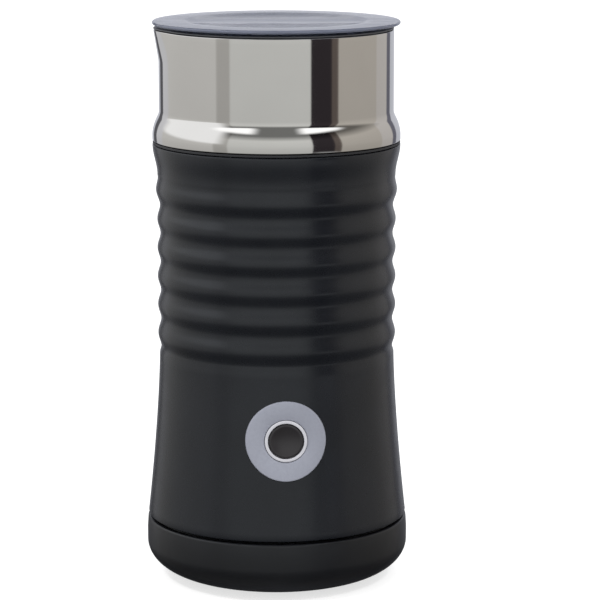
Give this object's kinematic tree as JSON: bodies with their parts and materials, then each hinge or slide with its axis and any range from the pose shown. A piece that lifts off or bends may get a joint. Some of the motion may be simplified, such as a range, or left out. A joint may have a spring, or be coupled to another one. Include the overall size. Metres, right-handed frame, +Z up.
{
  "type": "milk frother",
  "caption": "Cylindrical cordless milk frother: ribbed black jug with polished steel collar and clear lid, lifting off a round power base; magnet-driven whisk inside.",
  "frame": {"origin": "on the common axis of jug and base, at the soles of the base's feet", "axes": "+Z up along the axis, -Y towards the front (push button), -X towards the spout"},
  "size_m": [0.095, 0.095, 0.2022],
  "materials": {
    "black_gloss": "glossy moulded black plastic",
    "black_satin": "satin moulded black plastic",
    "steel": "mirror-polished stainless steel",
    "silver": "satin silver",
    "non_stick": "dark non-stick coating",
    "clear": "clear bluish plastic",
    "light_pipe": "milky translucent plastic",
    "silicone": "dark silicone",
    "rubber": "black rubber",
    "brass": "bare brass contact",
    "zinc": "zinc-plated steel",
    "aluminium": "bare aluminium",
    "brown": "dark brown heat-proof plastic",
    "board": "green circuit board",
    "white": "natural white moulded plastic",
    "magnet": "nickel-plated magnet",
    "copper": "copper winding on steel laminations"
  },
  "bodies": {
    "base": {"base_shell": "black_satin", "base_top_plate": "black_satin", "base_connector": "brown", "base_contact_centre": "brass", "base_contact_inner": "brass", "base_contact_outer": "brass", "base_foot_1": "rubber", "base_foot_2": "rubber", "base_foot_3": "rubber", "base_screw_1": "zinc", "base_screw_2": "zinc", "base_screw_3": "zinc", "cord_gland": "rubber"},
    "jug_connector": {"jug_socket": "brown", "live_pin": "brass", "neutral_ring": "brass", "earth_ring": "brass"},
    "jug": {"housing": "black_gloss", "bottom_cover": "black_satin", "cover_screw_1": "zinc", "cover_screw_2": "zinc", "cover_screw_3": "zinc", "steel_collar": "steel", "vessel": "non_stick", "collar_gasket": "silicone", "whisk_pin": "zinc", "heater_plate": "aluminium", "thermostat": "zinc", "thermal_fuse": "zinc", "chassis": "white", "motor_can": "zinc", "stator_magnet": "magnet", "motor_end_cap": "white", "control_board": "board", "relay": "white", "capacitor": "black_satin", "board_screw_1": "zinc", "board_screw_2": "zinc", "button_bezel": "silver", "light_ring": "light_pipe", "button_spring": "zinc", "switch_body": "black_satin", "button_board": "board", "button_bracket": "white", "led_1": "light_pipe", "led_2": "light_pipe"},
    "drive": {"motor_shaft": "zinc", "motor_rotor": "copper", "magnet_carrier": "white", "drive_magnet_1": "magnet", "drive_magnet_2": "magnet"},
    "whisk_mount": {"whisk_bush": "white"},
    "whisk": {"whisk_hub": "black_satin", "whisk_spring": "steel", "whisk_magnet_1": "magnet", "whisk_magnet_2": "magnet"},
    "lid": {"lid": "clear", "lid_seal": "silicone"},
    "button": {"push_button": "black_gloss"},
    "plunger": {"switch_plunger": "white"}
  },
  "joints": [
    {"name": "jug_lift", "type": "slide", "parent": "base", "child": "jug_connector", "axis": [0, 0, 1], "range_m": [0, 0.06]},
    {"name": "jug_swivel", "type": "hinge", "parent": "jug_connector", "child": "jug", "pos_m": [0, 0, 0.0228], "axis": [0, 0, 1], "continuous": true},
    {"name": "drive_spin", "type": "hinge", "parent": "jug", "child": "drive", "pos_m": [0, 0, 0.075], "axis": [0, 0, 1], "continuous": true},
    {"name": "whisk_lift", "type": "slide", "parent": "jug", "child": "whisk_mount", "axis": [0, 0, 1], "range_m": [0, 0.07]},
    {"name": "whisk_spin", "type": "hinge", "parent": "whisk_mount", "child": "whisk", "pos_m": [0, 0, 0.1092], "axis": [0, 0, 1], "continuous": true},
    {"name": "lid_lift", "type": "slide", "parent": "jug", "child": "lid", "axis": [0, 0, 1], "range_m": [0, 0.04]},
    {"name": "button_press", "type": "slide", "parent": "jug", "child": "button", "axis": [0, 1, 0], "range_m": [0, 0.001], "stiffness_N_per_m": 800, "springref_m": -0.0005, "deforming": ["button_spring"]},
    {"name": "plunger_slide", "type": "slide", "parent": "jug", "child": "plunger", "axis": [0, 1, 0], "range_m": [0, 0.001]}
  ],
  "couplings": [
    {"joint": "whisk_spin", "follows": "drive_spin", "ratio": 1},
    {"joint": "plunger_slide", "follows": "button_press", "ratio": 1}
  ]
}
